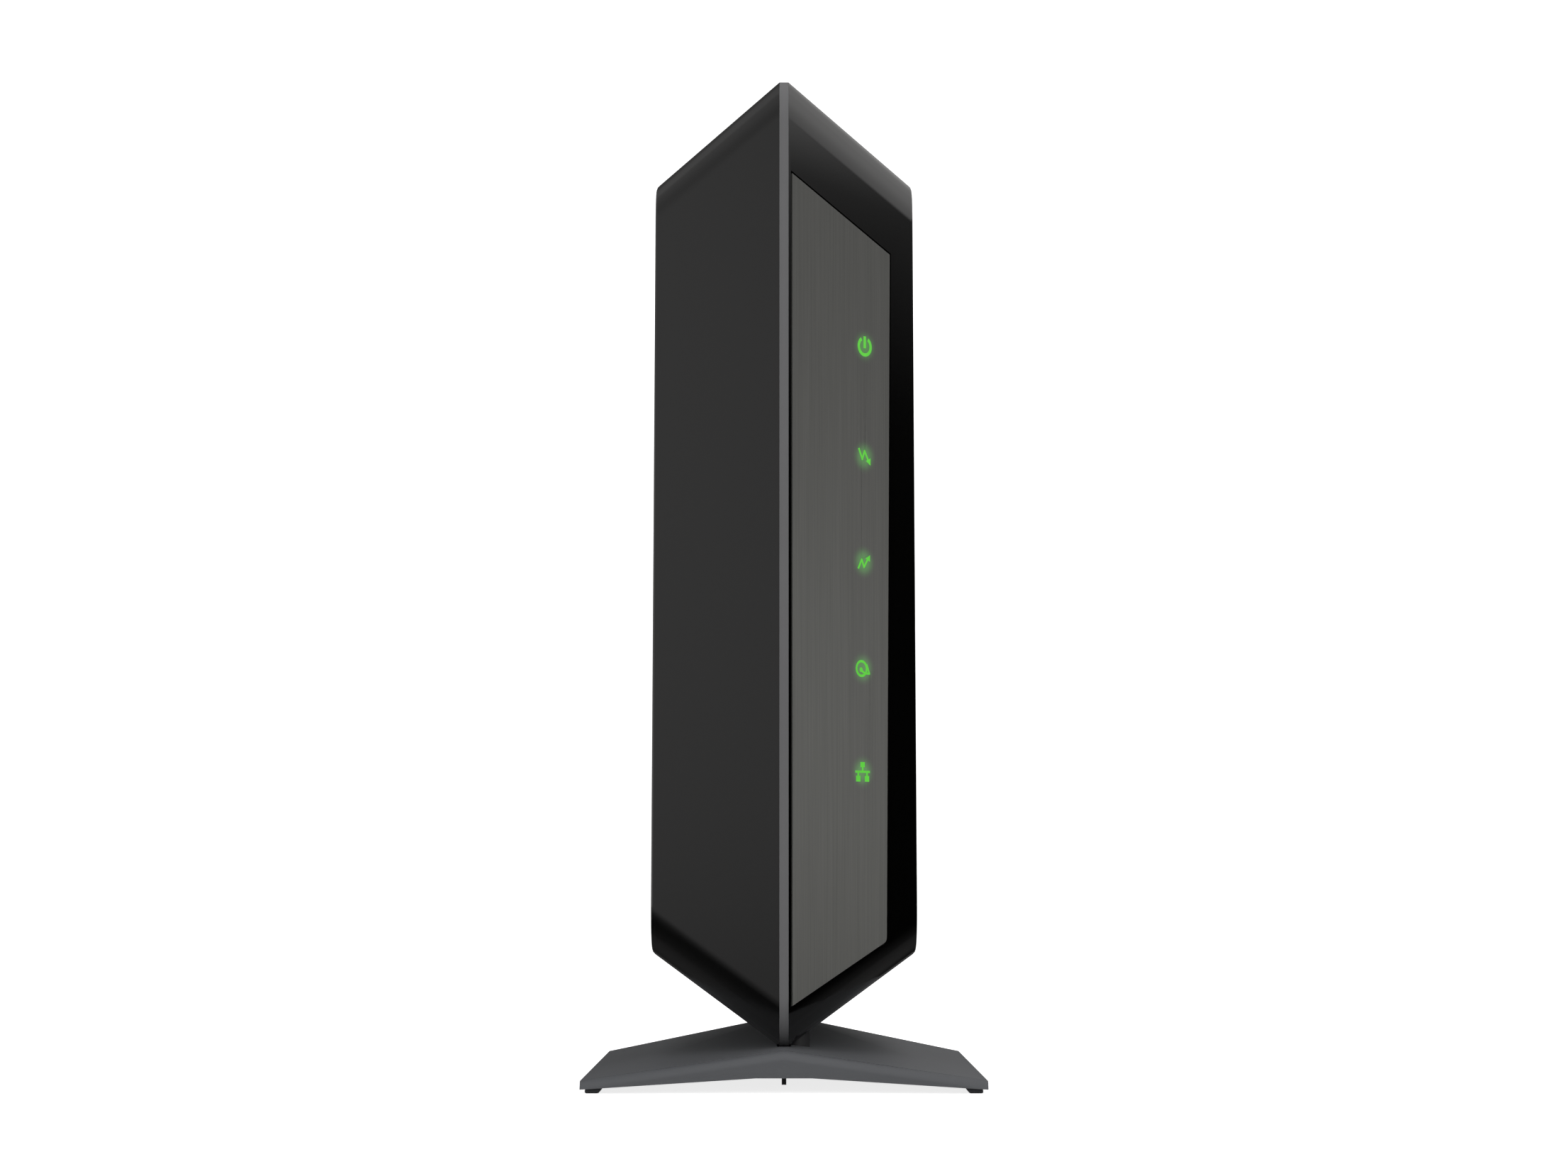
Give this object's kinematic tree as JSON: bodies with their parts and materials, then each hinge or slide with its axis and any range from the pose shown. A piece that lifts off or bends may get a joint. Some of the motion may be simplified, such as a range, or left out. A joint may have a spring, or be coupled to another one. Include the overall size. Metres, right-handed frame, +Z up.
{
  "type": "cable modem",
  "caption": "Upright cable modem: wedge-nosed two-tone case with a brushed inlay and lit symbols, rear coaxial, network and power ports, on a low arched stand.",
  "frame": {"origin": "bottom centre of the bounding box, on the surface that the stand's feet rest on", "axes": "+Z up, the front ridge faces -Y, the ports face +Y, +X to the right seen from the front"},
  "size_m": [0.087, 0.145, 0.2237],
  "materials": {
    "shell_matte": "fine matte texture",
    "shell_gloss": "polished",
    "band_grey": "satin",
    "inlay_brushed": "brushed along its length",
    "lens_green": "lit",
    "guide_clear": "clear, polished",
    "board_green": "solder mask",
    "led_green": "lit",
    "cable_cream": "flat cable",
    "screw_steel": "plated",
    "chip_black": "moulded",
    "pad_blue": "soft pad",
    "sink_aluminium": "extruded",
    "nylon_white": "moulded",
    "shield_steel": "tinned",
    "can_dark": "sleeved can",
    "ferrite_grey": "pressed ferrite",
    "jack_nickel": "nickel plated",
    "contact_brass": "gold flashed",
    "port_black": "moulded",
    "lamp_clear": "clear, unlit",
    "button_grey": "satin",
    "button_red": "moulded",
    "panel_black": "fine matte texture",
    "stand_grey": "fine matte texture",
    "foot_rubber": "soft",
    "post_black": "moulded"
  },
  "bodies": {
    "housing": {"left_shell": "shell_matte", "right_shell": "shell_gloss", "centre_band": "band_grey", "front_inlay": "inlay_brushed", "icon_lenses": "lens_green", "light_guide": "guide_clear", "led_board": "board_green", "leds": "led_green", "led_cable": "cable_cream", "led_board_screws": "screw_steel", "main_board": "board_green", "main_chip": "chip_black", "thermal_pad": "pad_blue", "heat_sink": "sink_aluminium", "heat_sink_pins": "nylon_white", "memory_chips": "chip_black", "flash_chip": "chip_black", "tuner_shield": "shield_steel", "capacitors": "can_dark", "power_coils": "ferrite_grey", "crystal": "shield_steel", "network_transformer": "chip_black", "coax_jack": "jack_nickel", "coax_insulator": "nylon_white", "coax_contact": "contact_brass", "coax_washer": "jack_nickel", "coax_nut": "jack_nickel", "network_jack_shield": "shield_steel", "network_jack_housing": "port_black", "network_jack_contacts": "contact_brass", "network_jack_lamps": "lamp_clear", "power_inlet": "port_black", "power_inlet_pin": "shield_steel", "power_inlet_spring": "shield_steel", "power_switch": "port_black", "reset_switch": "port_black", "rear_panel": "panel_black", "board_screws": "screw_steel", "case_screws": "screw_steel", "stand": "stand_grey", "foot_pads": "foot_rubber", "stand_posts": "post_black", "lock_discs": "post_black", "lock_screws": "screw_steel"},
    "power_button": {"power_button": "button_grey"},
    "reset_plunger": {"reset_plunger": "button_red"}
  },
  "joints": [
    {"name": "power_button_press", "type": "slide", "parent": "housing", "child": "power_button", "axis": [0, -1, 0], "range_m": [0, 0.002], "stiffness_N_per_m": 900},
    {"name": "reset_press", "type": "slide", "parent": "housing", "child": "reset_plunger", "axis": [0, -1, 0], "range_m": [0, 0.0006], "stiffness_N_per_m": 1500}
  ]
}
